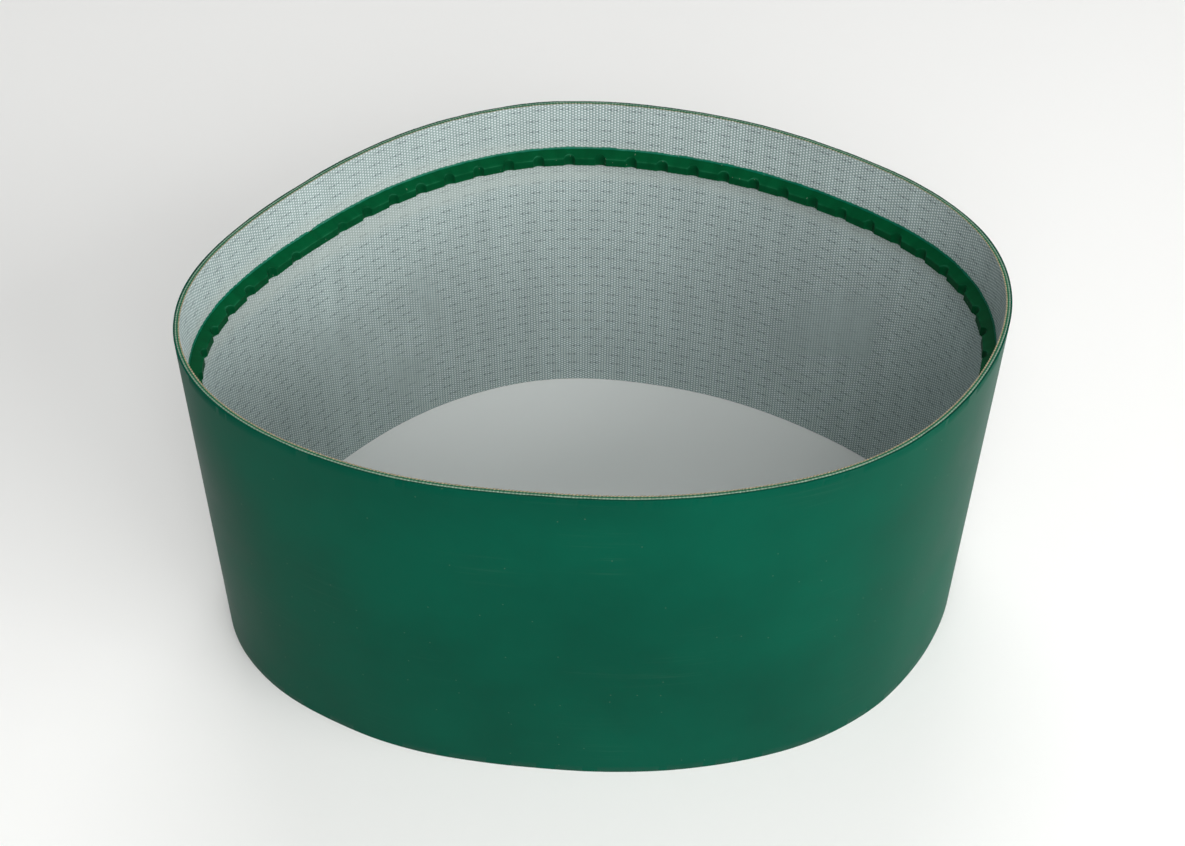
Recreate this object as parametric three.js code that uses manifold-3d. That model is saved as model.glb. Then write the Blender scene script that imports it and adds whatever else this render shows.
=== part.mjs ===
// An endless conveyor belt standing on its lower edge, with a notched V-guide welded inside it.
//
// The belt is a laminate of two woven plies, a bond layer between them and a smooth cover
// outside. The guide keeps the belt from wandering sideways: it runs in a groove in the pulleys.
// Millimetres, +Z up. The origin is on the floor, at the middle of the loop's outer box, and the
// loop's long axis lies along X. Off its pulleys the belt stands as a soft, uneven oval.

import * as THREE from 'three';
import { mergeVertices } from 'three/addons/utils/BufferGeometryUtils.js';
import Module from 'manifold-3d';

// The belt
const INSIDE_LENGTH = 1400;      // once round the running face
const BELT_WIDTH = 270;          // from the lower cut edge to the upper one
const COVER_THICKNESS = 1.3;
const OUTER_PLY_THICKNESS = 0.8;
const BOND_THICKNESS = 1.0;
const INNER_PLY_THICKNESS = 0.9;

// How the radius swells round the loop: how many lobes, how far each stands out as a share of
// the mean radius, and the direction of the first one in degrees from +X
const SWELLS = [
  { lobes: 2, share: 0.160, towards: 0 },
  { lobes: 3, share: 0.031, towards: -32 },
  { lobes: 4, share: 0.031, towards: 8 },
  { lobes: 5, share: 0.005, towards: -25 },
  { lobes: 6, share: 0.009, towards: 7 },
  { lobes: 8, share: 0.004, towards: 6 },
];

// The V-guide, a trapezoid with its wide foot on the running face
const GUIDE_BELOW_UPPER_EDGE = 45;  // from the upper edge to the middle of the guide
const GUIDE_FOOT = 13;
const GUIDE_CREST = 6.4;
const GUIDE_DEPTH = 8;

// The notches, round bites across the crest that let the guide bend round a small pulley
const NOTCH_PITCH = 23;
const NOTCH_RADIUS = 4.4;
const NOTCH_DEPTH = 3;
const END_NOTCH_DEPTH = 1.8;     // the two notches beside the joint, partly filled by the weld

// The joint, where the guide's two ends are butt-welded
const JOINT_DIRECTION = 151.6;   // degrees from +X, seen from above
const JOINT_LAND = 36;           // least distance between the middles of the notches beside the joint
const JOINT_WELD = 3;            // how much of the guide the weld takes
const JOINT_FLASH = 0.4;         // how far the weld stands proud of the guide

// The beads squeezed out along the guide's two feet
const BEAD_WIDTH = 1.5;
const BEAD_DEPTH = 0.8;
const BEAD_CLEARANCE = 0.05;

const STATIONS = 180;            // steps round the loop
const NOTCH_SIDES = 20;

const BELT_THICKNESS = COVER_THICKNESS + OUTER_PLY_THICKNESS + BOND_THICKNESS + INNER_PLY_THICKNESS;
const GUIDE_HEIGHT = BELT_WIDTH - GUIDE_BELOW_UPPER_EDGE;
const STATION_SPACING = INSIDE_LENGTH / STATIONS;

const COLOURS = {
  cover: 0x0b5a43,
  ply: 0xa7b3ad,
  bond: 0x1f7a58,
  guide: 0x07492c,
};

const wasm = await Module();
wasm.setup();

/** The running face seen from above: a circle whose radius swells by a few waves. */
class RunningLine extends THREE.Curve {
  constructor(meanRadius, centre) {
    super();
    this.meanRadius = meanRadius;
    this.centre = centre;
    this.arcLengthDivisions = 2400;
  }

  getPoint(turn, target = new THREE.Vector3()) {
    const angle = 2 * Math.PI * turn;
    const swell = SWELLS.reduce(
      (sum, { lobes, share, towards }) =>
        sum + share * Math.cos(lobes * (angle - THREE.MathUtils.degToRad(towards))),
      1,
    );
    const radius = this.meanRadius * swell;
    return target.set(radius * Math.cos(angle), radius * Math.sin(angle), 0).sub(this.centre);
  }
}

/** The value brought into one turn of that size, so that distances can run past the loop's start. */
const wrapped = (value, size) => ((value % size) + size) % size;

/** A point at a distance along the line, and the way out of the loop there. */
function stationAt(line, distance) {
  const share = wrapped(distance, INSIDE_LENGTH) / INSIDE_LENGTH;
  const tangent = line.getTangentAt(share);
  return { point: line.getPointAt(share), outward: new THREE.Vector3(tangent.y, -tangent.x, 0) };
}

/** The line with the wanted length whose outer face is centred on the origin. */
function makeRunningLine() {
  const unit = new RunningLine(1, new THREE.Vector3());
  const meanRadius = INSIDE_LENGTH / unit.getLength();
  const offCentre = new RunningLine(meanRadius, new THREE.Vector3());
  const outside = new THREE.Box3();
  for (let i = 0; i < STATIONS; i += 1) {
    const { point, outward } = stationAt(offCentre, i * STATION_SPACING);
    outside.expandByPoint(point.addScaledVector(outward, BELT_THICKNESS));
  }
  return new RunningLine(meanRadius, outside.getCenter(new THREE.Vector3()));
}

const line = makeRunningLine();
const stations = Array.from({ length: STATIONS }, (_, i) => stationAt(line, i * STATION_SPACING));

/** The distance along the line to a direction seen from the middle of the swelling circle. */
function distanceTowards(degrees) {
  const steps = line.getLengths(line.arcLengthDivisions);
  const index = Math.round((wrapped(degrees, 360) / 360) * line.arcLengthDivisions);
  return (steps[index] / steps[line.arcLengthDivisions]) * INSIDE_LENGTH;
}

const PART = new THREE.Group();

function addPart(name, geometry, colour, roughness) {
  const material = new THREE.MeshStandardMaterial({ color: colour, roughness, metalness: 0 });
  const mesh = new THREE.Mesh(geometry, material);
  mesh.name = name;
  PART.add(mesh);
}

/** One layer of the belt: the ring between two distances from the running face. */
function layerGeometry(inside, outside) {
  const ringAt = (offset) =>
    stations.map(({ point, outward }) => {
      const corner = point.clone().addScaledVector(outward, offset);
      return new THREE.Vector2(corner.x, corner.y);
    });
  const shape = new THREE.Shape(ringAt(outside));
  shape.holes.push(new THREE.Path(ringAt(inside)));
  return new THREE.ExtrudeGeometry(shape, { depth: BELT_WIDTH, bevelEnabled: false });
}

/**
 * A section carried along places on the running face, with flat ends. Its corners are [depth into
 * the loop, height], in turn, clockwise when seen along the line.
 */
function sweepGeometry(section, run) {
  const positions = run.flatMap(({ point, outward }) =>
    section.flatMap(([depth, height]) => {
      const corner = point.clone().addScaledVector(outward, -depth);
      return [corner.x, corner.y, height];
    }),
  );
  const corners = section.length;
  const index = [];
  const last = (run.length - 1) * corners;
  for (let here = 0; here < last; here += corners) {
    const next = here + corners;
    for (let j = 0; j < corners; j += 1) {
      const k = (j + 1) % corners;
      index.push(here + j, next + j, next + k, here + j, next + k, here + k);
    }
  }
  for (let j = 1; j < corners - 1; j += 1) {
    index.push(0, j, j + 1);
    index.push(last, last + j + 1, last + j);
  }
  const geometry = new THREE.BufferGeometry();
  geometry.setAttribute('position', new THREE.Float32BufferAttribute(positions, 3));
  geometry.setIndex(index);
  return geometry;
}

function toSolid(geometry) {
  const bare = geometry.clone();
  bare.deleteAttribute('normal');
  bare.deleteAttribute('uv');
  const merged = mergeVertices(bare);
  return new wasm.Manifold(
    new wasm.Mesh({
      numProp: 3,
      vertProperties: new Float32Array(merged.attributes.position.array),
      triVerts: new Uint32Array(merged.index.array),
    }),
  );
}

function toGeometry(solid) {
  const { vertProperties, triVerts, numProp } = solid.getMesh();
  const geometry = new THREE.BufferGeometry();
  geometry.setAttribute('position', new THREE.InterleavedBufferAttribute(
    new THREE.InterleavedBuffer(vertProperties, numProp), 3, 0,
  ));
  geometry.setIndex(new THREE.BufferAttribute(triVerts, 1));
  return geometry;
}

/** A place on the straight facet between two stations, so that what sits there lies flat on it. */
function placeOnFacet(distance) {
  const steps = wrapped(distance, INSIDE_LENGTH) / STATION_SPACING;
  const before = stations[Math.floor(steps) % STATIONS];
  const after = stations[(Math.floor(steps) + 1) % STATIONS];
  const share = steps - Math.floor(steps);
  return {
    point: before.point.clone().lerp(after.point, share),
    outward: before.outward.clone().lerp(after.outward, share).normalize(),
  };
}

/** The stations strictly between two distances, with a new place at each end. */
function runBetween(start, end) {
  const inner = [];
  for (let i = Math.floor(start / STATION_SPACING) + 1; i * STATION_SPACING < end; i += 1) {
    inner.push(stations[wrapped(i, STATIONS)]);
  }
  return [placeOnFacet(start), ...inner, placeOnFacet(end)];
}

/** A bite across the crest: an upright cylinder whose side reaches the wanted depth. */
function notchGeometry({ point, outward }, depth) {
  const reach = GUIDE_DEPTH - depth + NOTCH_RADIUS;
  const cylinder = new THREE.CylinderGeometry(NOTCH_RADIUS, NOTCH_RADIUS, 2 * GUIDE_FOOT, NOTCH_SIDES);
  cylinder.rotateX(Math.PI / 2);
  cylinder.rotateZ(Math.atan2(outward.y, outward.x));
  const middle = point.clone().addScaledVector(outward, -reach);
  cylinder.translate(middle.x, middle.y, GUIDE_HEIGHT);
  return cylinder;
}

/** The guide's section, grown by a margin on the flanks and the crest. */
function guideSection(margin) {
  const foot = GUIDE_FOOT / 2 + margin;
  const crest = GUIDE_CREST / 2 + margin;
  return [
    [0, GUIDE_HEIGHT - foot],
    [0, GUIDE_HEIGHT + foot],
    [GUIDE_DEPTH + margin, GUIDE_HEIGHT + crest],
    [GUIDE_DEPTH + margin, GUIDE_HEIGHT - crest],
  ];
}

const jointMiddle = distanceTowards(JOINT_DIRECTION);

/** How far each notch is from the joint, and how deep it is: even steps, centred on the joint. */
function notchPlaces() {
  const gaps = Math.floor((INSIDE_LENGTH - JOINT_LAND) / NOTCH_PITCH);
  const first = (INSIDE_LENGTH - gaps * NOTCH_PITCH) / 2;
  return Array.from({ length: gaps + 1 }, (_, i) => ({
    distance: jointMiddle + first + i * NOTCH_PITCH,
    depth: i === 0 || i === gaps ? END_NOTCH_DEPTH : NOTCH_DEPTH,
  }));
}

function addBeltLayers() {
  const layers = [
    ['inner_ply', INNER_PLY_THICKNESS, COLOURS.ply, 0.9],
    ['bond_layer', BOND_THICKNESS, COLOURS.bond, 0.6],
    ['outer_ply', OUTER_PLY_THICKNESS, COLOURS.ply, 0.9],
    ['top_cover', COVER_THICKNESS, COLOURS.cover, 0.45],
  ];
  let inside = 0;
  for (const [name, thickness, colour, roughness] of layers) {
    addPart(name, layerGeometry(inside, inside + thickness), colour, roughness);
    inside += thickness;
  }
}

function addGuide() {
  const start = jointMiddle + JOINT_WELD / 2;
  const end = jointMiddle + INSIDE_LENGTH - JOINT_WELD / 2;
  let guide = toSolid(sweepGeometry(guideSection(0), runBetween(start, end)));
  for (const { distance, depth } of notchPlaces()) {
    guide = guide.subtract(toSolid(notchGeometry(placeOnFacet(distance), depth)));
  }
  addPart('v_guide', toGeometry(guide), COLOURS.guide, 0.55);

  const weld = runBetween(end - INSIDE_LENGTH, start);
  addPart('guide_joint_weld', sweepGeometry(guideSection(JOINT_FLASH), weld), COLOURS.guide, 0.6);
}

/** A bead's section: a small wedge in the corner between the running face and a flank. */
function beadSection(side) {
  const foot = GUIDE_FOOT / 2 + BEAD_CLEARANCE;
  const slope = (GUIDE_FOOT - GUIDE_CREST) / 2 / GUIDE_DEPTH;
  const corners = [
    [0, GUIDE_HEIGHT + side * foot],
    [0, GUIDE_HEIGHT + side * (foot + BEAD_WIDTH)],
    [BEAD_DEPTH, GUIDE_HEIGHT + side * (foot - slope * BEAD_DEPTH)],
  ];
  return side > 0 ? corners : corners.reverse();
}

function addWeldBeads() {
  const start = jointMiddle + JOINT_WELD / 2;
  const run = runBetween(start, start + INSIDE_LENGTH - JOINT_WELD);
  addPart('upper_weld_bead', sweepGeometry(beadSection(1), run), COLOURS.guide, 0.5);
  addPart('lower_weld_bead', sweepGeometry(beadSection(-1), run), COLOURS.guide, 0.5);
}

addBeltLayers();
addGuide();
addWeldBeads();

export default PART;
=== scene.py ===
"""An endless conveyor belt with a notched V-guide, standing on its lower edge.

Metres, in the frame's own axes: X along the loop's long axis, Z up from the floor. Every piece is a
section carried along the running line, which is the inside face of the loop seen from above.
"""

import math

import bpy
import numpy as np
from mathutils import Matrix, Vector


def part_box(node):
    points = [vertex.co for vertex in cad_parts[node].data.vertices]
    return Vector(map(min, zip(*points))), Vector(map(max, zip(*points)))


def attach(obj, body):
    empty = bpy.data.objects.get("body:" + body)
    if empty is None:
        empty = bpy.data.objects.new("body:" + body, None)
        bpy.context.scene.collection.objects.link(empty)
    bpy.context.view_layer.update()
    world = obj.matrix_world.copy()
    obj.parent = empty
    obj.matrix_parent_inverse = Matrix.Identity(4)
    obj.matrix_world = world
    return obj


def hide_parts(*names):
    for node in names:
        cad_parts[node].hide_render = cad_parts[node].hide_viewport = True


MM = 0.001
TAU = 2 * math.pi
rng = np.random.default_rng(23)

# Real sizes of the cloth and of the guide's notches, as in the part's own source
WEFT_PITCH = 2.15 * MM  # thick threads across the belt, which show as upright columns
WARP_PITCH = 1.145 * MM  # thinner threads along the belt
CARBON_EVERY = 8  # every eighth warp thread carries a dark antistatic filament
CARBON_TWIST = 8  # weft threads to one turn of that filament
NOTCH_PITCH = 23 * MM
NOTCH_RADIUS = 4.4 * MM
NOTCH_DEPTH = 3 * MM
END_NOTCH_DEPTH = 1.8 * MM
JOINT_LAND = 36 * MM  # least length without notches across the guide's joint
HALF_WELD = 1.5 * MM  # the butt weld reaches this far each way from the joint
FOOT_SINK = 0.05 * MM  # the guide's foot and the beads' roots lie this deep in the cloth
CREST_ROUNDING = 0.4 * MM
CREST_PAINTED_SHADE = 0.6  # painted shade on the crest, as a share of the painted shade inside a notch

# Real sizes of the patterns on the pieces
CLOUDS = 143 * MM  # the cover's cloudiness
STAINS = 111 * MM  # the cloth's faint stains
RUB_LENGTH, RUB_WIDTH = 111 * MM, 2.38 * MM
RUB_PATCHES = 62.5 * MM
TRACK_WAVES = 33.3 * MM  # along the edge of the pressed track
DRAWN_LENGTH, DRAWN_WIDTH = 25 * MM, 0.385 * MM  # lines that the die left along the guide
COVER_DUST_APART = 16.13 * MM
GUIDE_BLOTCHES = 8.33 * MM
GUIDE_DUST_APART = 5.26 * MM
FIBRES = 1.11 * MM  # at cut edges, drawn several times coarser than real, so as to show
COVER_GRAIN = 0.667 * MM  # of the calender, drawn several times coarser than real, so as to show

# What the pieces are painted with, as sRGB
COVER_GREEN = "004433"
GUIDE_GREEN = "004827"
BEAD_GREEN = "006049"
# The cloth's three colours: pale thread with a painted highlight for its crowns, the same thread in painted
# shade for its sides, and grey-green bond darkened by painted shade for the gaps
HIGHLIT_THREAD = "e4ebee"
SHADED_THREAD_SIDE = "9eaba9"
BOND_AND_SHADE_IN_GAPS = "889b98"
CARBON = "35434a"
PRESSED = "aeb6b1"
PLY_ENDS, PLY_GAPS = "879d8a", "4f715d"
RUNNING_ENDS, RUNNING_GAPS = "a39679", "6a6f5c"
BOND_PALE, BOND_DARK = "1c6848", "0c4a33"
RUBBED_COVER = "6f8f7c"
# The guide's rubbed edge colour, which also paints a highlight along the crest's edges and the notch rims
RUBBED_AND_HIGHLIT_GUIDE = "3c8f6c"
COVER_DUST = "8f9a80"
GUIDE_DUST = "a8b3a2"
FLOOR_WHITE = "f7f7f5"

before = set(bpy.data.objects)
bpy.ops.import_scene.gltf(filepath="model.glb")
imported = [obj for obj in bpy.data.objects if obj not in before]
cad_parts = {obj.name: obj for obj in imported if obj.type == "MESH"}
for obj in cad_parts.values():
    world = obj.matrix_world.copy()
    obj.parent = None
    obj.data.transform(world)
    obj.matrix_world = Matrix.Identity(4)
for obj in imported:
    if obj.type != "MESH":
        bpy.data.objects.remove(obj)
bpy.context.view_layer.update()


def corners_of(name):
    """A CAD node's triangles as an array of corner places, and their normals."""
    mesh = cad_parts[name].data
    places = np.empty(len(mesh.vertices) * 3)
    mesh.vertices.foreach_get("co", places)
    index = np.empty(len(mesh.loops), int)
    mesh.loops.foreach_get("vertex_index", index)
    normals = np.empty(len(mesh.polygons) * 3)
    mesh.polygons.foreach_get("normal", normals)
    return places.reshape(-1, 3)[index].reshape(-1, 3, 3), normals.reshape(-1, 3)


def running_face_corners():
    """The inner ply's inward floor corners as x + iy, once each and in order round the loop."""
    corners, normals = corners_of("inner_ply")
    inward = (normals * corners.mean(1))[:, :2].sum(1) < -1e-3
    places = corners[inward].reshape(-1, 3)
    places = places[places[:, 2] < WIDTH / 2]
    turns = places[:, 0] + 1j * places[:, 1]
    turns = turns[np.argsort(np.angle(turns))]
    return turns[np.abs(turns - np.roll(turns, 1)) > 1e-4]


class RunningLine:
    """The smooth closed curve through the running face's evenly spaced corners.

    A place is the sum of arrows that turn a whole number of times round the loop: the Fourier series
    of the corners. Distances are measured along it from the middle of the guide's joint.
    """

    def __init__(self, corners):
        self.arrows = np.fft.fft(corners) / len(corners)
        self.turns = np.fft.fftfreq(len(corners), 1 / len(corners))
        self.length = 1.0
        self.start = 0.0
        fine = np.arange(20000) / 20000
        places, _ = self.at(fine)
        length = np.abs(np.diff(places, append=places[:1])).sum()
        low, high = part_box("guide_joint_weld")
        joint = (low.x + high.x) / 2 + 1j * (low.y + high.y) / 2
        self.start = fine[np.abs(places - joint).argmin()] * length
        self.length = length

    def at(self, distance):
        """Places, and the unit direction out of the loop, as x + iy."""
        turn = (np.asarray(distance) + self.start) / self.length
        waves = np.exp(1j * TAU * turn[:, None] * self.turns)
        along = waves @ (self.arrows * 1j * self.turns)
        return waves @ self.arrows, along / np.abs(along) / 1j


BELT_LOW, BELT_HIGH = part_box("top_cover")
WIDTH = BELT_HIGH.z - BELT_LOW.z
line = RunningLine(running_face_corners())
ROUND = line.length
WEFT_THREADS = 2 * round(ROUND / WEFT_PITCH / 2)  # an even number, so that the weave closes
WEFT_FITTED = ROUND / WEFT_THREADS

# How far out of the loop each layer reaches, from the steps between the layers' boxes
PLY_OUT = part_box("inner_ply")[1].x - line.at(np.linspace(0, ROUND, 4000))[0].real.max()
BOND_OUT = PLY_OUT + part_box("bond_layer")[1].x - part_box("inner_ply")[1].x
OUTER_OUT = BOND_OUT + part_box("outer_ply")[1].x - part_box("bond_layer")[1].x
COVER_OUT = OUTER_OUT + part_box("top_cover")[1].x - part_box("outer_ply")[1].x


def guide_section():
    """The guide's middle height, half its foot, half its crest and its depth, from its CAD corners.

    The crest's corners are the ones nearest its middle height, and the depth is how far they stand
    from the running line.
    """
    low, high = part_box("v_guide")
    middle, half_foot = (low.z + high.z) / 2, (high.z - low.z) / 2
    corners = corners_of("v_guide")[0].reshape(-1, 3)
    off = np.abs(corners[:, 2] - middle)
    crest = corners[off < off.min() + 1e-5]
    running = line.at(np.arange(0, ROUND, 1 * MM))[0]
    apart = np.abs(crest[:, 0, None] + 1j * crest[:, 1, None] - running)
    return middle, half_foot, off.min(), apart.min(1).max()


GUIDE_MIDDLE, HALF_FOOT, HALF_CREST, GUIDE_DEPTH = guide_section()
FLANK_SLOPE = (HALF_FOOT - HALF_CREST) / GUIDE_DEPTH

# The track that the welding roller pressed flat, which lies a little below the guide's middle
TRACK_MIDDLE = GUIDE_MIDDLE - 5.5 * MM
TRACK_CLEAR = 21 * MM  # half the width past which the cloth is as woven
TRACK_FULL = 11 * MM  # half the width that is pressed fully
TRACK_RAGGED = 6 * MM  # how far its edges wander
TRACK_WIDENED = 9 * MM  # how much further it reaches each way at the guide's joint


def wander(distance, shortest, size):
    """An irregular wave round the loop, whose root mean square is size.

    It is the sum of 40 cosines of seeded phase, each with a whole number of turns round the loop and
    no wave shorter than shortest.
    """
    count = 40
    turns = rng.integers(1, max(3, int(ROUND / shortest)), count)
    phases = rng.uniform(0, TAU, count)
    waves = np.cos(TAU * np.outer(distance / ROUND, turns) + phases)
    return size * waves.sum(1) / math.sqrt(count / 2)


def strips_of(columns, section_share):
    """Lays a ring out flat for its baked maps: strips of equal length, one above the other.

    Per column of faces, its strip and its place in it; per section edge, its share of the strip.
    """
    count = max(1, round(math.sqrt(ROUND / section_share.sum())))
    per_strip = math.ceil(columns / count)
    strip, place = np.divmod(np.arange(columns), per_strip)
    edges = np.concatenate([[0], np.cumsum(section_share)]) / section_share.sum()
    return strip, place, per_strip, count, edges


def carry(name, distance, out, height, closed=True, share=None, slots=None, smooth=True, sharp=40):
    """A mesh: a closed section carried along the running line.

    The corner j of the section at station i lies at the line's place at distance[i], plus out[i, j]
    along the way out of the loop, at height[i, j]. The section is turned so that faces point outwards.
    UV maps: OFBake lays the faces flat for baking, and Cloth holds distance and height in metres.
    share gives each section edge's room in OFBake, in metres, where it isn't its length, and slots
    gives the number of the material it wears.
    """
    slots = np.zeros(out.shape[1], np.int32) if slots is None else slots
    area = (out[0] * np.roll(height[0], -1) - np.roll(out[0], -1) * height[0]).sum()
    if area < 0:
        out, height = out[:, ::-1], height[:, ::-1]
        share = None if share is None else np.roll(share[::-1], -1)
        slots = np.roll(slots[::-1], -1)
    stations, corners = out.shape
    places, outward = line.at(distance)
    flat = places[:, None] + outward[:, None] * out
    points = np.stack([flat.real, flat.imag, height], -1)

    columns = stations if closed else stations - 1
    i, j = np.meshgrid(np.arange(columns), np.arange(corners), indexing="ij")
    i_next, j_next = (i + 1) % stations, (j + 1) % corners
    here, ahead = i * corners, i_next * corners
    quads = np.stack([here + j, ahead + j, ahead + j_next, here + j_next], -1).reshape(-1, 4)

    mesh = bpy.data.meshes.new(name)
    caps = [] if closed else [np.arange(corners), np.arange(corners)[::-1] + (stations - 1) * corners]
    sizes = np.concatenate([np.full(len(quads), 4), np.full(len(caps), corners)]).astype(np.int32)
    index = np.concatenate([quads.ravel(), *caps]).astype(np.int32)
    mesh.vertices.add(len(points.reshape(-1, 3)))
    mesh.vertices.foreach_set("co", points.ravel())
    mesh.loops.add(len(index))
    mesh.loops.foreach_set("vertex_index", index)
    mesh.polygons.add(len(sizes))
    mesh.polygons.foreach_set("loop_start", (np.cumsum(sizes) - sizes).astype(np.int32))
    mesh.polygons.foreach_set("use_smooth", np.full(len(sizes), smooth))
    worn = np.append(np.tile(slots, columns), np.zeros(len(caps))).astype(np.int32)
    mesh.polygons.foreach_set("material_index", worn)
    mesh.update(calc_edges=True)
    if smooth:
        mesh.set_sharp_from_angle(angle=math.radians(sharp))

    if share is None:
        share = np.hypot(np.roll(out[0], -1) - out[0], np.roll(height[0], -1) - height[0])
    strip, place, per_strip, count, edges = strips_of(columns, share)
    pad = 0.004  # bare margin round each strip, as a share of the map
    across = np.stack([place, place + 1, place + 1, place], -1)[:, None, :] / per_strip
    up = np.stack([edges[:-1], edges[:-1], edges[1:], edges[1:]], -1)[None]
    baked = np.empty((columns, corners, 4, 2))
    baked[..., 0] = pad + across * (1 - 2 * pad)
    baked[..., 1] = (strip[:, None, None] + pad * count + up * (1 - 2 * pad * count)) / count
    step = np.append(distance, distance[0] + ROUND)
    cloth = np.empty((columns, corners, 4, 2))
    cloth[..., 0] = np.stack([step[i], step[i + 1], step[i + 1], step[i]], -1)
    heights = [height[i, j], height[i_next, j], height[i_next, j_next], height[i, j_next]]
    cloth[..., 1] = np.stack(heights, -1)
    for map_name, values in (("OFBake", baked), ("Cloth", cloth)):
        layer = mesh.uv_layers.new(name=map_name)
        filled = np.zeros((len(index), 2))
        filled[: len(quads) * 4] = values.reshape(-1, 2)
        layer.uv.foreach_set("vector", filled.ravel())
    made = bpy.data.objects.new(name, mesh)
    bpy.context.scene.collection.objects.link(made)
    return made


def rises(low, high, count):
    """count + 1 heights from low to high, as one row."""
    return np.linspace(low, high, count + 1)[None]


# ---------------------------------------------------------------- the belt's layers


def pressed_share(height):
    """How far the threads are pressed flat: fully under the guide and half-way in the track beside it."""
    low, high = GUIDE_MIDDLE - 19 * MM, GUIDE_MIDDLE + 9 * MM
    beside = (height > low) & (height < high)
    under = np.abs(height - GUIDE_MIDDLE) < HALF_FOOT
    return np.where(under, 1.0, np.where(beside, 0.5, 0.0))


def weave_inner_ply():
    """The inner woven ply, whose bare face runs on the pulleys.

    Two stations to a weft thread: the face stands in by the relief at each thread's crown and out by it
    in each gap. At the cut edges the thread ends stand out and the gaps fall back, each by a seeded
    amount. The face wears the first material and the cut edges and back the second.
    """
    stations, steps = 2 * WEFT_THREADS, 67
    distance = np.arange(stations) * ROUND / stations
    crown = np.where(np.arange(stations) % 2 == 0, 1.0, -1.0)[:, None]
    relief = 0.09 * MM
    rows = rises(WIDTH, 0, steps)
    face = -relief * crown * (1 - pressed_share(rows))
    fray = 0.10 * MM * rng.standard_normal((stations, 1)) + 0.16 * MM * crown
    back = np.full((stations, 1), PLY_OUT)
    middle = np.full((stations, 1), PLY_OUT / 2)
    out = np.hstack([back, middle, face, middle, back])
    rows = np.repeat(rows, stations, 0)
    top, foot = WIDTH + fray, np.zeros((stations, 1))
    rows[:, :1] = top
    low_fray = 0.5 * (fray.max() - fray)
    rows[:, -1:] = low_fray
    height = np.hstack([top - 0.1 * MM, top + 0.06 * MM, rows, foot, low_fray])
    edge = [PLY_OUT / 2] * 2
    share = np.concatenate([edge, np.full(steps, WIDTH / steps), edge, [2 * MM]])
    slots = np.ones(len(share), np.int32)
    slots[len(edge) : len(edge) + steps] = 0
    return carry("inner_ply_cloth", distance, out, height, share=share, slots=slots, smooth=False)


def make_layer(name, inside, outside, thread_ends):
    """A layer that shows only at the cut edges: a ring with each edge cut as five corners.

    One station to a weft thread. Thread ends stand out at the middle of the edge by a seeded amount,
    with every other one lower, on a slow wave of the cut.
    """
    distance = np.arange(WEFT_THREADS) * WEFT_FITTED
    across = inside + (outside - inside) * np.array([1.0, 0.75, 0.4, 0.1, 0.0])
    lift = np.array([0.0, 0.7, 1.0, 0.7, 0.0]) * thread_ends
    alternate = (-1.0) ** np.arange(WEFT_THREADS)[:, None]
    every = 1 + 0.35 * alternate + 0.3 * rng.standard_normal((WEFT_THREADS, 1))
    wave = wander(distance, 3 * MM, 0.05 * MM)[:, None]
    top = WIDTH + every * lift + wave
    low = (0.25 * MM - 0.2 * every * lift).clip(0, None)
    out = np.repeat(np.hstack([across, across[::-1]])[None], WEFT_THREADS, 0)
    height = np.hstack([top, low[:, ::-1]])
    faces = len(across) - 1
    share = np.full(2 * len(across), (outside - inside) / faces)
    share[[faces, -1]] = 2 * MM
    return carry(name, distance, out, height, share=share, sharp=60)


def make_cover():
    """The smooth cover: a ring whose outer face ripples slightly, with softened cut edges.

    The face stands at the cover's outside plus one slow wave, plus another that grows from the middle
    to the edges with opposite signs above and below.
    """
    columns, rows = 1000, 40
    distance = np.arange(columns) * ROUND / columns
    tilt = np.linspace(-1, 1, rows + 1)[None]
    face = COVER_OUT + wander(distance, 60 * MM, 0.10 * MM)[:, None]
    face = face + wander(distance, 40 * MM, 0.06 * MM)[:, None] * tilt
    cut = wander(distance, 2.5 * MM, 0.05 * MM)[:, None]
    cut = cut + wander(distance, 25 * MM, 0.08 * MM)[:, None]

    # From the inside over the foot's edge, up the outer face and back over the top edge
    inner = np.full((columns, 1), OUTER_OUT)
    foot_out = [inner, inner + 0.3 * MM, face[:, :1] - 0.25 * MM]
    top_out = [face[:, -1:] - 0.22 * MM, inner + 0.25 * MM, inner]
    low_cut = 0.5 * (cut - cut.min())
    foot = [low_cut, 0 * low_cut, low_cut]
    body = np.repeat(np.linspace(0.35 * MM, WIDTH - 0.25 * MM, rows + 1)[None], columns, 0)
    top = [WIDTH + cut, WIDTH + cut - 0.03 * MM, WIDTH + cut - 0.2 * MM]
    out = np.hstack([*foot_out, face, *top_out])
    height = np.hstack([*foot, body, *top])
    share = np.array([0.5, 1.0, 0.4, *[WIDTH / rows / MM] * rows, 0.4, 1.0, 0.5, 2.0]) * MM
    return carry("pvc_cover", distance, out, height, share=share, sharp=50)


# ---------------------------------------------------------------- the guide


def notch_places():
    """Distances of the notches and their depths: even steps, as far from the joint at both ends."""
    gaps = int((ROUND - JOINT_LAND) / NOTCH_PITCH)
    first = (ROUND - gaps * NOTCH_PITCH) / 2
    depths = np.full(gaps + 1, NOTCH_DEPTH)
    depths[[0, -1]] = END_NOTCH_DEPTH
    return first + np.arange(gaps + 1) * NOTCH_PITCH, depths


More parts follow.
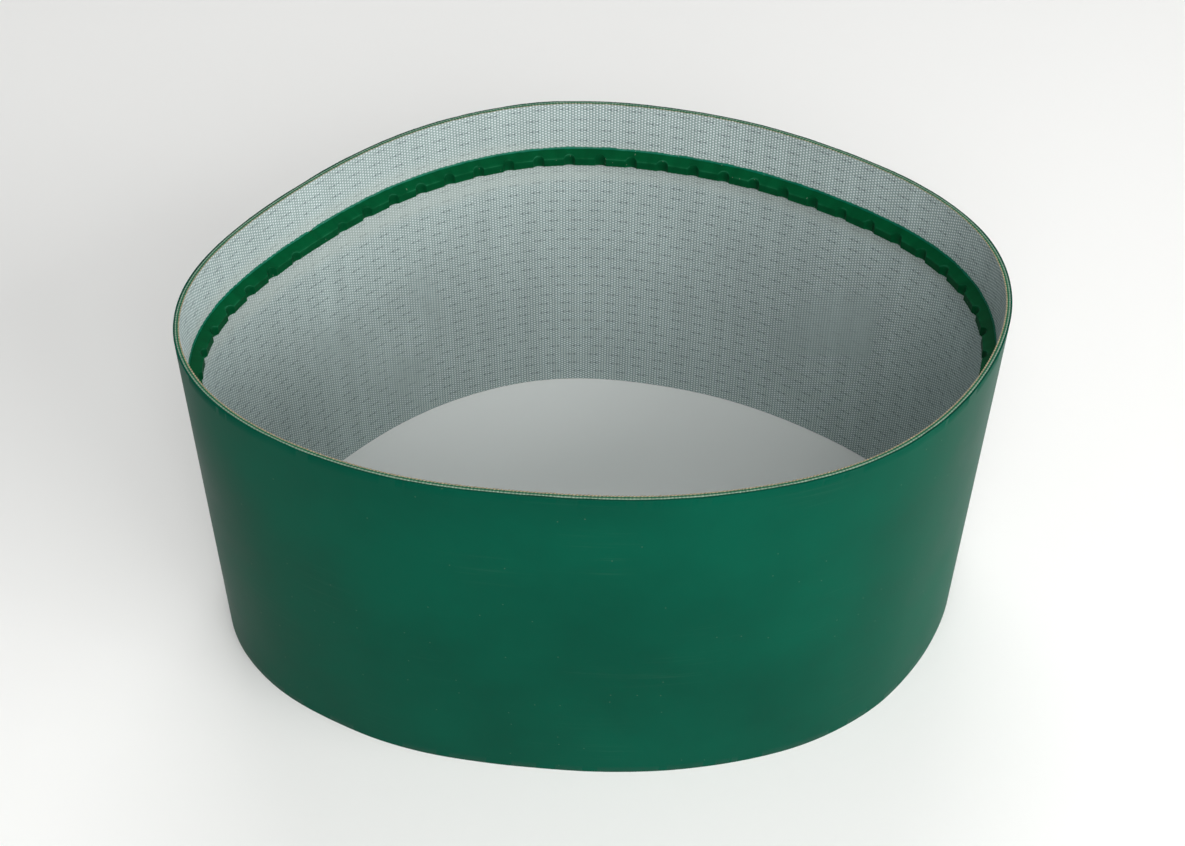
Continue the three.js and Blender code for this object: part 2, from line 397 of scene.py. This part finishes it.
def bitten_depth(distance):
    """How far the guide stands into the loop, and how much of a notch's lip and of its inside lie there.

    Full depth, less a circle's bite at each notch: centre - sqrt(R^2 - x^2), joined to the crest by a
    smooth minimum, with a low moulded lip as a bell curve just outside each rim. The last value is 1 in
    the middle of a notch and falls as exp(-(x / rim)^6).
    """
    places, depths = notch_places()
    away = distance[:, None] - places
    nearest = np.abs(away).argmin(1)
    x = np.abs(away[np.arange(len(distance)), nearest])
    bite = depths[nearest]
    centre = GUIDE_DEPTH - bite + NOTCH_RADIUS
    circle = centre - np.sqrt((NOTCH_RADIUS**2 - x**2).clip(0, None))
    soft = 0.3 * MM
    blend = (0.5 + 0.5 * (circle - GUIDE_DEPTH) / soft).clip(0, 1)
    depth = circle + (GUIDE_DEPTH - circle) * blend - soft * blend * (1 - blend)
    rim = np.sqrt(NOTCH_RADIUS**2 - (NOTCH_RADIUS - bite) ** 2)
    lip = np.exp(-(((x - rim - 0.5 * MM) / (0.45 * MM)) ** 2))
    inside = np.exp(-((x / rim) ** 6))
    return depth + 0.05 * MM * lip, lip, inside


# Corners of half the guide's section: up the flank, round the crest's edge, and over the crest
UP_FLANK = np.array([0.0, 0.4, 0.8])
ROUND_EDGE = np.array([0.0, 0.2, 0.4, 0.6, 0.8, 1.0])
OVER_CREST = np.array([0.66, 0.33, 0.05])
EDGE_START = len(UP_FLANK)
CREST_START = EDGE_START + len(ROUND_EDGE)
HALF_CORNERS = CREST_START + len(OVER_CREST)
CREST = slice(CREST_START, CREST_START + 2 * len(OVER_CREST))


def half_section(depth, inside):
    """From the foot's edge up one flank and over to the middle of the crest: depths and half heights.

    The flank is straight and the crest flat. The edge between them is the quadratic curve from a point
    on the flank, by the sharp corner, to a point on the crest, each one rounding away from the corner.
    Inside a notch that edge swells outwards as the moulded rim.
    """
    depth = depth[:, None]
    corner_half = HALF_FOOT - FLANK_SLOPE * depth
    end_half = corner_half - CREST_ROUNDING
    slant = math.hypot(1, FLANK_SLOPE)
    start = depth - CREST_ROUNDING / slant
    start_half = corner_half + CREST_ROUNDING * FLANK_SLOPE / slant
    first, middle, last = (1 - ROUND_EDGE) ** 2, 2 * ROUND_EDGE * (1 - ROUND_EDGE), ROUND_EDGE**2
    curve = first * start + (middle + last) * depth
    curve_half = first * start_half + middle * corner_half + last * end_half
    swell = 0.22 * MM * inside[:, None] * np.array([[0.6, 1.0, 0.8, 0.3, 0.0, 0.0]])
    flank_half = HALF_FOOT + (start_half - HALF_FOOT) * UP_FLANK
    deep = np.hstack([start * UP_FLANK, curve + 0.3 * swell, np.repeat(depth, len(OVER_CREST), 1)])
    half = np.hstack([flank_half, curve_half + swell, end_half * OVER_CREST])
    return deep, half


def whole_section(depth, half):
    """Both sides of the guide: the half section, then its mirror image back to the other foot edge."""
    out = -np.hstack([depth, depth[:, ::-1]])
    height = GUIDE_MIDDLE + np.hstack([half, -half[:, ::-1]])
    return out, height


def store(made, name, values):
    """Stores a number from 0 to 1 at each point for its material: how worn it is, with a painted edge
    highlight, or how much painted shade it gets.
    """
    layer = made.data.attributes.new(name, "FLOAT", "POINT")
    layer.data.foreach_set("value", values.ravel().astype(np.float32))


def make_guide():
    """The notched guide: one strip with its two ends at the joint, finely stepped across each notch."""
    places, _ = notch_places()
    step, plain_step, closest = 0.35 * MM, 2.6 * MM, 0.1 * MM
    each_way = 18
    fine = (places[:, None] + np.arange(-each_way, each_way + 1) * step).ravel()
    plain = np.arange(HALF_WELD, ROUND - HALF_WELD, plain_step)
    clear = np.abs(plain[:, None] - places).min(1) > (each_way + 0.5) * step
    distance = np.sort(np.concatenate([fine, plain[clear], [ROUND - HALF_WELD]]))
    distance = distance[np.append(True, np.diff(distance) > closest)]
    depth, lip, inside = bitten_depth(distance)
    depth = depth + wander(distance, 15 * MM, 0.04 * MM)
    deep, half = half_section(depth, inside)
    half = half + wander(distance, 30 * MM, 0.05 * MM)[:, None]
    out, height = whole_section(deep, half)
    out[:, [0, -1]] = FOOT_SINK
    made = carry("v_guide_profile", distance, out, height, closed=False, sharp=75)

    # Worn along the crest's edges and most at the notches, a wear that also paints an edge highlight there,
    # and painted shade on the crest and inside the notches
    edge = np.zeros(2 * HALF_CORNERS)
    edge[EDGE_START:CREST_START] = [0.3, 0.7, 1.0, 1.0, 0.7, 0.3]
    edge = np.maximum(edge, edge[::-1])
    store(made, "wear_and_edge_highlight", edge[None] * (0.5 + 0.5 * np.maximum(lip, inside)[:, None]))
    # Painted shade on the crest, and inside each notch, growing towards the crest
    crest = np.zeros(2 * HALF_CORNERS)
    crest[CREST] = CREST_PAINTED_SHADE
    near_crest = np.linspace(0, 1, HALF_CORNERS) ** 2
    near_crest = np.append(near_crest, near_crest[::-1])
    store(made, "painted_shade", np.maximum(crest, inside[:, None] * near_crest))
    return made


def make_joint_weld():
    """The butt weld round the guide: its section grown by a lumpy collar, highest at the middle.

    The collar's height is a parabola along the guide. It grows the flank outwards and the crest inwards
    into the loop, by shares that change over from the foot to the crest.
    """
    stations = 17
    distance = np.linspace(-HALF_WELD, HALF_WELD, stations)
    collar = 0.09 * MM * (1 - (distance / HALF_WELD) ** 2)
    deep, half = half_section(np.full(stations, GUIDE_DEPTH), np.zeros(stations))
    lumps = 1 + 0.5 * rng.standard_normal((1, HALF_CORNERS)) * np.hanning(stations)[:, None]
    grown = collar[:, None] * lumps
    to_crest = np.linspace(0, 1, HALF_CORNERS)[None]
    out, height = whole_section(deep + grown * to_crest, half + grown * (1 - to_crest**4))
    made = carry("guide_butt_weld", distance, out, height, closed=False, sharp=75)
    # Painted shade on the crest, as on the guide
    crest = np.zeros(out.shape)
    crest[:, CREST] = CREST_PAINTED_SHADE
    store(made, "painted_shade", crest)
    return made


def make_bead(name, side):
    """The bead of melt along one foot of the guide, pressed into the cloth so that its edge is serrated.

    Its width is a base width, plus a wave with one crest to every second weft thread, plus slow seeded
    changes. Its section starts at its root, goes out over the cloth and leans back on the flank.
    """
    columns = 2 * WEFT_THREADS
    distance = HALF_WELD + np.arange(columns) * (ROUND - 2 * HALF_WELD) / (columns - 1)
    serration = 0.22 * MM * np.cos(TAU * distance / (2 * WEFT_PITCH))
    width = 1.15 * MM + serration + wander(distance, 12 * MM, 0.14 * MM)
    width = width.clip(0.5 * MM, 1.6 * MM)[:, None]
    rise = (0.62 * MM + wander(distance, 6 * MM, 0.07 * MM))[:, None]
    deep = rise * np.array([[-0.1, 0.3, 0.75, 1.0, 1.15]])
    over = width * np.array([[1.0, 0.85, 0.5, 0.2, 0.0]])
    over[:, -1:] -= FLANK_SLOPE * rise
    deep = np.insert(deep, 0, -FOOT_SINK, 1)
    over = np.insert(over, 0, 0.0, 1)
    height = GUIDE_MIDDLE + side * (HALF_FOOT + 0.03 * MM + over)
    return carry(name, distance, -deep, height, closed=False, sharp=80)


# ---------------------------------------------------------------- materials


def linear(colour):
    """An sRGB hex colour as linear red, green, blue and alpha."""
    parts = [int(colour[k : k + 2], 16) / 255 for k in (0, 2, 4)]
    return (*[p / 12.92 if p <= 0.04045 else ((p + 0.055) / 1.055) ** 2.4 for p in parts], 1.0)


def add(tree, kind, inputs=None, **settings):
    """One shader node with its settings. Each input is a value, or the socket or node that feeds it."""
    made = tree.nodes.new("ShaderNode" + kind)
    for name, value in settings.items():
        setattr(made, name, value)
    for key, value in (inputs or {}).items():
        if isinstance(value, bpy.types.Node):
            value = value.outputs[0]
        if isinstance(value, bpy.types.NodeSocket):
            tree.links.new(value, made.inputs[key])
        else:
            made.inputs[key].default_value = value
    return made


def new_material(name):
    """An empty node material, and its tree with a surface that is still to be linked."""
    made = bpy.data.materials.new(name)
    made.use_nodes = True
    made.node_tree.nodes.clear()
    return made, made.node_tree


def running_cloth():
    """Plain-woven polyester with grey-green bond showing between its threads, darkened there by painted
    shade.

    Thick weft threads stand up as pale columns, painted lighter at the middle and darker at the sides as
    shading, with a painted highlight on the crown wherever one passes over a warp thread, and every eighth
    warp thread shows as a broken dark line of carbon filament. Where the welding roller pressed it beside
    the guide, it is flatter and of one even grey.
    """
    made, tree = new_material("woven_polyester_running_face")
    cloth = add(tree, "UVMap", uv_map="Cloth")
    pitches = (1 / WEFT_FITTED, 1 / WARP_PITCH, 1)
    threads = add(tree, "VectorMath", {0: cloth, 1: pitches}, operation="MULTIPLY")
    # Threads lie a little unevenly, in waves of about four threads: by up to a ninth of the weft's
    # pitch and a quarter of the warp's
    drift = add(tree, "TexNoise", {"Vector": threads, "Scale": 0.23, "Detail": 2.0}, noise_dimensions="2D")
    shift = add(tree, "VectorMath", {0: drift.outputs["Color"], 1: (0.5, 0.5, 0.5)}, operation="SUBTRACT")
    threads = add(tree, "VectorMath", {0: shift, 1: (0.22, 0.5, 0), 2: threads}, operation="MULTIPLY_ADD")
    apart = add(tree, "SeparateXYZ", {0: threads})
    weft, warp = apart.outputs[0], apart.outputs[1]
    turned = add(tree, "VectorMath", {0: threads, 1: (math.pi, math.pi, 0)}, operation="MULTIPLY")
    cosines = add(tree, "SeparateXYZ", {0: add(tree, "VectorMath", {0: turned}, operation="COSINE")})
    a, b = cosines.outputs[0], cosines.outputs[1]
    column = add(tree, "Math", {0: a, 1: a}, operation="MULTIPLY")
    over = add(tree, "Math", {0: a, 1: b}, operation="MULTIPLY")
    crown = add(tree, "MapRange", {0: over, 1: 0.22, 2: 0.86}, interpolation_type="SMOOTHSTEP")

    # Pressed track beside the guide, ragged at its edges
    place = add(tree, "SeparateXYZ", {0: cloth})
    off = add(tree, "Math", {0: place.outputs[1], 1: TRACK_MIDDLE}, operation="SUBTRACT")
    off = add(tree, "Math", {0: off}, operation="ABSOLUTE")
    waves = {"Vector": cloth, "Scale": 1 / TRACK_WAVES, "Detail": 3.0}
    wavy = add(tree, "TexNoise", waves, noise_dimensions="2D")
    ragged = add(tree, "Math", {0: wavy, 1: TRACK_RAGGED, 2: off}, operation="MULTIPLY_ADD")
    # The press that closed the joint was wider, so the track widens towards the joint
    turn = add(tree, "Math", {0: place.outputs[0], 1: TAU / ROUND}, operation="MULTIPLY")
    turn = add(tree, "Math", {0: turn}, operation="COSINE")
    near = add(tree, "MapRange", {0: turn, 1: 0.3, 2: 1.0})
    ragged = add(tree, "Math", {0: near, 1: -TRACK_WIDENED, 2: ragged}, operation="MULTIPLY_ADD")
    pressed = add(
        tree, "MapRange", {0: ragged, 1: TRACK_CLEAR, 2: TRACK_FULL, 3: 0.0, 4: 1.0},
        interpolation_type="SMOOTHSTEP",
    )

    # Each weft thread has its own tone, and the cloth is a little stained
    number = add(tree, "Math", {0: weft, 1: 0.5}, operation="ADD")
    number = add(tree, "Math", {0: number}, operation="FLOOR")
    tone = add(tree, "TexWhiteNoise", {"W": number}, noise_dimensions="1D")
    uneven = {"Vector": cloth, "Scale": 1 / STAINS, "Detail": 4.0, "Roughness": 0.6}
    stain = add(tree, "TexNoise", uneven, noise_dimensions="2D")
    # Painted shade and highlight: each column is darker at its sides and in the gaps, and carries a painted
    # highlight on each crown
    body = add(tree, "Mix", {0: column, 6: linear(BOND_AND_SHADE_IN_GAPS), 7: linear(SHADED_THREAD_SIDE)}, data_type="RGBA")
    bright = add(tree, "Mix", {0: crown, 6: body.outputs[2], 7: linear(HIGHLIT_THREAD)}, data_type="RGBA")
    toned = add(tree, "MapRange", {0: tone, 3: 0.955, 4: 1.045})
    lit = add(tree, "VectorMath", {0: bright.outputs[2], 3: toned}, operation="SCALE")
    patchy = add(tree, "MapRange", {0: stain, 1: 0.3, 2: 0.7, 3: 0.94, 4: 1.06})
    lit = add(tree, "VectorMath", {0: lit, 3: patchy}, operation="SCALE")

    # Carbon filament: a dark line on its warp threads, darkest in every second gap between weft
    # threads, that comes and goes with its twist
    row = add(tree, "Math", {0: warp, 1: CARBON_EVERY / 2, 2: -CARBON_EVERY / 2}, operation="WRAP")
    row = add(tree, "Math", {0: row}, operation="ABSOLUTE")
    on_row = add(
        tree, "MapRange", {0: row, 1: 0.75, 2: 0.35, 3: 0.0, 4: 1.0}, interpolation_type="SMOOTHSTEP"
    )
    gap = add(tree, "Math", {0: weft, 1: 0.5}, operation="SUBTRACT")
    gap = add(tree, "Math", {0: gap, 1: 1.0, 2: -1.0}, operation="WRAP")
    gap = add(tree, "Math", {0: gap}, operation="ABSOLUTE")
    in_gap = add(
        tree, "MapRange", {0: gap, 1: 0.62, 2: 0.2, 3: 0.0, 4: 1.0}, interpolation_type="SMOOTHSTEP"
    )
    number = add(tree, "Math", {0: warp, 1: CARBON_EVERY}, operation="DIVIDE")
    number = add(tree, "Math", {0: number}, operation="ROUND")
    phase = add(tree, "TexWhiteNoise", {"W": number}, noise_dimensions="1D")
    twist = add(tree, "Math", {0: weft, 1: 1 / CARBON_TWIST, 2: phase}, operation="MULTIPLY_ADD")
    twist = add(tree, "Math", {0: twist, 1: TAU}, operation="MULTIPLY")
    twist = add(tree, "Math", {0: twist}, operation="SINE")
    shows = add(
        tree, "MapRange", {0: twist, 1: -0.3, 2: 0.3, 3: 0.1, 4: 1.0}, interpolation_type="SMOOTHSTEP"
    )
    dotted = add(tree, "MapRange", {0: in_gap, 3: 0.38, 4: 1.0})
    carbon = add(tree, "Math", {0: on_row, 1: dotted}, operation="MULTIPLY")
    carbon = add(tree, "Math", {0: carbon, 1: shows}, operation="MULTIPLY")
    carbon = add(tree, "Math", {0: carbon, 1: 0.55}, operation="MULTIPLY")

    dark = add(tree, "Mix", {0: carbon, 6: lit, 7: linear(CARBON)}, data_type="RGBA")
    flat_share = add(tree, "Math", {0: pressed, 1: 0.42}, operation="MULTIPLY")
    colour = add(tree, "Mix", {0: flat_share, 6: dark.outputs[2], 7: linear(PRESSED)}, data_type="RGBA")

    # Relief: the column's arch, the crown and a little fibre fuzz, all lower where the cloth is pressed
    fuzz = add(tree, "TexNoise", {"Vector": threads, "Scale": 3.1, "Detail": 3.0}, noise_dimensions="2D")
    arch = add(tree, "Math", {0: column, 1: 0.45, 2: crown}, operation="MULTIPLY_ADD")
    arch = add(tree, "Math", {0: fuzz, 1: 0.3, 2: arch}, operation="MULTIPLY_ADD")
    keep = add(tree, "MapRange", {0: pressed, 3: 1.0, 4: 0.35})
    relief = add(tree, "Math", {0: arch, 1: keep}, operation="MULTIPLY")
    bump = add(tree, "Bump", {"Strength": 1.0, "Distance": 0.10 * MM, "Height": relief})
    surface = add(
        tree, "BsdfPrincipled",
        {"Base Color": colour.outputs[2], "Roughness": 0.78, "Specular IOR Level": 0.3, "Normal": bump},
    )
    add(tree, "OutputMaterial", {"Surface": surface})
    return made


def cut_cloth(name, thread, dark):
    """The cut edge of a layer: blunt thread ends side by side, with darker bond in the gaps between."""
    made, tree = new_material(name)
    cloth = add(tree, "UVMap", uv_map="Cloth")
    apart = add(tree, "SeparateXYZ", {0: cloth})
    weft = add(tree, "Math", {0: apart.outputs[0], 1: 1 / WEFT_FITTED}, operation="MULTIPLY")
    wave = add(tree, "Math", {0: weft, 1: TAU}, operation="MULTIPLY")
    wave = add(tree, "Math", {0: wave}, operation="COSINE")
    fibres = {"Vector": cloth, "Scale": 1 / FIBRES, "Detail": 3.0}
    grain = add(tree, "TexNoise", fibres, noise_dimensions="2D")
    mixed = add(tree, "Math", {0: wave, 1: 0.35, 2: grain}, operation="MULTIPLY_ADD")
    share = add(tree, "MapRange", {0: mixed, 1: -0.2, 2: 0.9, 3: 0.0, 4: 1.0})
    colour = add(tree, "Mix", {0: share, 6: linear(dark), 7: linear(thread)}, data_type="RGBA")
    bump = add(tree, "Bump", {"Strength": 0.7, "Distance": 0.2 * MM, "Height": mixed})
    surface = add(
        tree, "BsdfPrincipled",
        {"Base Color": colour.outputs[2], "Roughness": 0.85, "Specular IOR Level": 0.25, "Normal": bump},
    )
    add(tree, "OutputMaterial", {"Surface": surface})
    return made


def calendered_pvc():
    """The cover: calendered soft PVC, a deep blue-green with a faint satin sheen.

    It is a little cloudy, with thin rub marks along the belt in places and a few pale specks of dust.
    """
    made, tree = new_material("calendered_pvc_satin")
    cloth = add(tree, "UVMap", uv_map="Cloth")
    soft = {"Vector": cloth, "Scale": 1 / CLOUDS, "Detail": 5.0, "Roughness": 0.55}
    clouds = add(tree, "TexNoise", soft, noise_dimensions="2D")
    cloudy = add(tree, "MapRange", {0: clouds, 1: 0.3, 2: 0.7, 3: 0.85, 4: 1.13})
    base = add(tree, "VectorMath", {0: linear(COVER_GREEN)[:3], 3: cloudy}, operation="SCALE")

    rub_scale = (1 / RUB_LENGTH, 1 / RUB_WIDTH, 0)
    stretched = add(tree, "VectorMath", {0: cloth, 1: rub_scale}, operation="MULTIPLY")
    streaky = {"Vector": stretched, "Scale": 1.0, "Detail": 4.0, "Roughness": 0.7}
    rubs = add(tree, "TexNoise", streaky, noise_dimensions="2D")
    patches = {"Vector": cloth, "Scale": 1 / RUB_PATCHES, "Detail": 2.0}
    where = add(tree, "TexNoise", patches, noise_dimensions="2D")
    rubbed = add(tree, "MapRange", {0: rubs, 1: 0.56, 2: 0.80})
    places = add(tree, "MapRange", {0: where, 1: 0.52, 2: 0.72})
    rub = add(tree, "Math", {0: rubbed, 1: places}, operation="MULTIPLY")
    rub = add(tree, "Math", {0: rub, 1: 0.05}, operation="MULTIPLY")
    colour = add(tree, "Mix", {0: rub, 6: base, 7: linear(RUBBED_COVER)}, data_type="RGBA")

    cells = {"Vector": cloth, "Scale": 1 / COVER_DUST_APART}
    dust = add(tree, "TexVoronoi", cells, voronoi_dimensions="2D")
    speck = add(tree, "MapRange", {0: dust.outputs["Distance"], 1: 0.035, 2: 0.02, 3: 0.0, 4: 1.0})
    pick = add(tree, "SeparateXYZ", {0: dust.outputs["Color"]})
    few = add(tree, "Math", {0: pick.outputs[0], 1: 0.86}, operation="GREATER_THAN")
    speck = add(tree, "Math", {0: speck, 1: few}, operation="MULTIPLY")
    speck = add(tree, "Math", {0: speck, 1: 0.16}, operation="MULTIPLY")
    colour = add(tree, "Mix", {0: speck, 6: colour.outputs[2], 7: linear(COVER_DUST)}, data_type="RGBA")

    fine = {"Vector": cloth, "Scale": 1 / COVER_GRAIN, "Detail": 2.0}
    grain = add(tree, "TexNoise", fine, noise_dimensions="2D")
    rough = add(tree, "MapRange", {0: clouds, 1: 0.3, 2: 0.7, 3: 0.36, 4: 0.46})
    rough = add(tree, "Math", {0: rub, 1: 0.4, 2: rough}, operation="MULTIPLY_ADD")
    bump = add(tree, "Bump", {"Strength": 0.25, "Distance": 0.04 * MM, "Height": grain})
    surface = add(
        tree, "BsdfPrincipled",
        {"Base Color": colour.outputs[2], "Roughness": rough, "Specular IOR Level": 0.03, "Normal": bump},
    )
    add(tree, "OutputMaterial", {"Surface": surface})
    return made


def moulded_green(name, colour, roughness, specular):
    """Extruded soft PVC of the guide and its welds: deep green, with fine drawn lines along it.

    It is paler where edges are rubbed, which also paints an edge highlight along the crest and round the
    notches, and darker with painted shade on the crest and inside the notches, with a few specks of dust.
    """
    made, tree = new_material(name)
    cloth = add(tree, "UVMap", uv_map="Cloth")
    line_scale = (1 / DRAWN_LENGTH, 1 / DRAWN_WIDTH, 0)
    stretched = add(tree, "VectorMath", {0: cloth, 1: line_scale}, operation="MULTIPLY")
    lines = add(tree, "TexNoise", {"Vector": stretched, "Scale": 1.0, "Detail": 2.0}, noise_dimensions="2D")
    blotches = {"Vector": cloth, "Scale": 1 / GUIDE_BLOTCHES, "Detail": 4.0}
    blotch = add(tree, "TexNoise", blotches, noise_dimensions="2D")
    tone = add(tree, "MapRange", {0: blotch, 1: 0.3, 2: 0.7, 3: 0.88, 4: 1.12})
    base = add(tree, "VectorMath", {0: linear(colour)[:3], 3: tone}, operation="SCALE")
    # Paler rubbed edges, which also paint the highlight along the crest's edges and the notch rims
    wear_and_edge_highlight = add(tree, "Attribute", attribute_name="wear_and_edge_highlight")
    patch = add(tree, "MapRange", {0: blotch, 1: 0.40, 2: 0.62})
    worn = add(tree, "Math", {0: wear_and_edge_highlight.outputs["Fac"], 1: patch}, operation="MULTIPLY")
    worn = add(tree, "Math", {0: worn, 1: 0.3}, operation="MULTIPLY")
    # Painted shade: darker on the crest and inside the notches
    painted_shade = add(tree, "Attribute", attribute_name="painted_shade")
    painted_shade_factor = add(tree, "MapRange", {0: painted_shade.outputs["Fac"], 3: 1.0, 4: 0.72})
    base = add(tree, "VectorMath", {0: base, 3: painted_shade_factor}, operation="SCALE")
    mixed = add(tree, "Mix", {0: worn, 6: base, 7: linear(RUBBED_AND_HIGHLIT_GUIDE)}, data_type="RGBA")
    cells = {"Vector": cloth, "Scale": 1 / GUIDE_DUST_APART}
    dust = add(tree, "TexVoronoi", cells, voronoi_dimensions="2D")
    speck = add(tree, "MapRange", {0: dust.outputs["Distance"], 1: 0.07, 2: 0.04, 3: 0.0, 4: 1.0})
    pick = add(tree, "SeparateXYZ", {0: dust.outputs["Color"]})
    few = add(tree, "Math", {0: pick.outputs[0], 1: 0.9}, operation="GREATER_THAN")
    speck = add(tree, "Math", {0: speck, 1: few}, operation="MULTIPLY")
    speck = add(tree, "Math", {0: speck, 1: 0.3}, operation="MULTIPLY")
    mixed = add(tree, "Mix", {0: speck, 6: mixed.outputs[2], 7: linear(GUIDE_DUST)}, data_type="RGBA")
    bump = add(tree, "Bump", {"Strength": 0.4, "Distance": 0.05 * MM, "Height": lines})
    looks = {"Base Color": mixed.outputs[2], "Roughness": roughness, "Specular IOR Level": specular}
    surface = add(tree, "BsdfPrincipled", {**looks, "Normal": bump})
    add(tree, "OutputMaterial", {"Surface": surface})
    return made


# ---------------------------------------------------------------- the pieces and what they wear

inner_ply = weave_inner_ply()
bond = make_layer("bond_pvc", PLY_OUT, BOND_OUT, 0.08 * MM)
outer_ply = make_layer("outer_ply_cloth", BOND_OUT, OUTER_OUT, 0.16 * MM)
cover = make_cover()
guide = make_guide()
joint_weld = make_joint_weld()
upper_bead = make_bead("upper_melt_bead", 1)
lower_bead = make_bead("lower_melt_bead", -1)

running = running_cloth()
ply_edge = cut_cloth("cut_polyester_ply", PLY_ENDS, PLY_GAPS)
inner_edge = cut_cloth("cut_running_ply", RUNNING_ENDS, RUNNING_GAPS)
bond_green = cut_cloth("cut_bond_pvc", BOND_PALE, BOND_DARK)
cover_green = calendered_pvc()
guide_green = moulded_green("extruded_pvc_guide", GUIDE_GREEN, 0.5, 0.05)
bead_green = moulded_green("melted_pvc_bead", BEAD_GREEN, 0.35, 0.2)
weld_green = moulded_green("welded_pvc_joint", GUIDE_GREEN, 0.45, 0.07)

for made, node_name, slot, material in (
    (inner_ply, "inner_ply", "running_fabric", running),
    (bond, "bond_layer", "bond", bond_green),
    (outer_ply, "outer_ply", "ply_fabric", ply_edge),
    (cover, "top_cover", "cover", cover_green),
    (guide, "v_guide", "guide", guide_green),
    (joint_weld, "guide_joint_weld", "weld", weld_green),
    (upper_bead, "upper_weld_bead", "weld", bead_green),
    (lower_bead, "lower_weld_bead", "weld", bead_green),
):
    made.data.materials.append(material)
    if made is inner_ply:
        made.data.materials.append(inner_edge)
    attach(made, "root")
    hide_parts(node_name)

# ---------------------------------------------------------------- floor, light and camera


def plain_material(name, colour, roughness):
    """One colour and roughness all over."""
    made, tree = new_material(name)
    surface = add(tree, "BsdfPrincipled", {"Base Color": linear(colour), "Roughness": roughness})
    add(tree, "OutputMaterial", {"Surface": surface})
    return made


def make_floor():
    """A plain pale floor, 12 m square."""
    mesh = bpy.data.meshes.new("floor")
    reach = 6.0
    corners = [(-reach, -reach, 0), (reach, -reach, 0), (reach, reach, 0), (-reach, reach, 0)]
    mesh.from_pydata(corners, [], [(0, 1, 2, 3)])
    mesh.materials.append(plain_material("pale_floor", FLOOR_WHITE, 0.9))
    floor = bpy.data.objects.new("floor", mesh)
    bpy.context.scene.collection.objects.link(floor)


def add_softbox(name, place, size, power):
    """A square area light, in metres and watts, that looks at the belt and isn't seen itself."""
    aim = Vector((0, 0, 0.1))
    data = bpy.data.lights.new(name, "AREA")
    data.shape = "SQUARE"
    data.size = size
    data.energy = power
    lamp = bpy.data.objects.new(name, data)
    lamp.location = place
    lamp.rotation_euler = (aim - Vector(place)).to_track_quat("-Z", "Y").to_euler()
    lamp.visible_camera = False
    bpy.context.scene.collection.objects.link(lamp)


def add_world(strength):
    """Even white light from all round."""
    world = bpy.data.worlds.new("studio")
    world.use_nodes = True
    light = world.node_tree.nodes["Background"].inputs
    light["Color"].default_value = (1, 1, 1, 1)
    light["Strength"].default_value = strength
    bpy.context.scene.world = world


def add_camera():
    """The view from in front and above, looking down 45.6 degrees, with the camera rolled by 0.6."""
    down, round_z, roll = math.radians(45.558), math.radians(2.55), math.radians(0.621)
    place = Vector((-0.0412, -0.8964, 1.0539))
    ahead = Vector((math.sin(round_z), math.cos(round_z), 0))
    level = Vector((math.cos(round_z), -math.sin(round_z), 0))
    forward = math.cos(down) * ahead - math.sin(down) * Vector((0, 0, 1))
    upright = level.cross(forward)
    right = math.cos(roll) * level + math.sin(roll) * upright
    up = math.cos(roll) * upright - math.sin(roll) * level
    data = bpy.data.cameras.new("view")
    data.sensor_width = 36
    data.lens = 56.792
    camera = bpy.data.objects.new("view", data)
    turn = Matrix((right, up, -forward)).transposed().to_4x4()
    camera.matrix_world = Matrix.Translation(place) @ turn
    bpy.context.scene.collection.objects.link(camera)
    bpy.context.scene.camera = camera


make_floor()
add_world(0.17)
add_softbox("front", (0, -3.26, 1.72), 2.2, 54)
add_softbox("front_right", (2.32, -2.32, 1.72), 2.2, 68)
add_softbox("low_right", (3.4, -1.2, 0.75), 1.4, 56)
add_softbox("high_front", (0, -2.32, 2.96), 2.2, 46)
add_softbox("back", (0, 2.32, 2.96), 2.2, 40)
add_camera()
bpy.context.scene.view_settings.view_transform = "Standard"

bpy.context.view_layer.update()
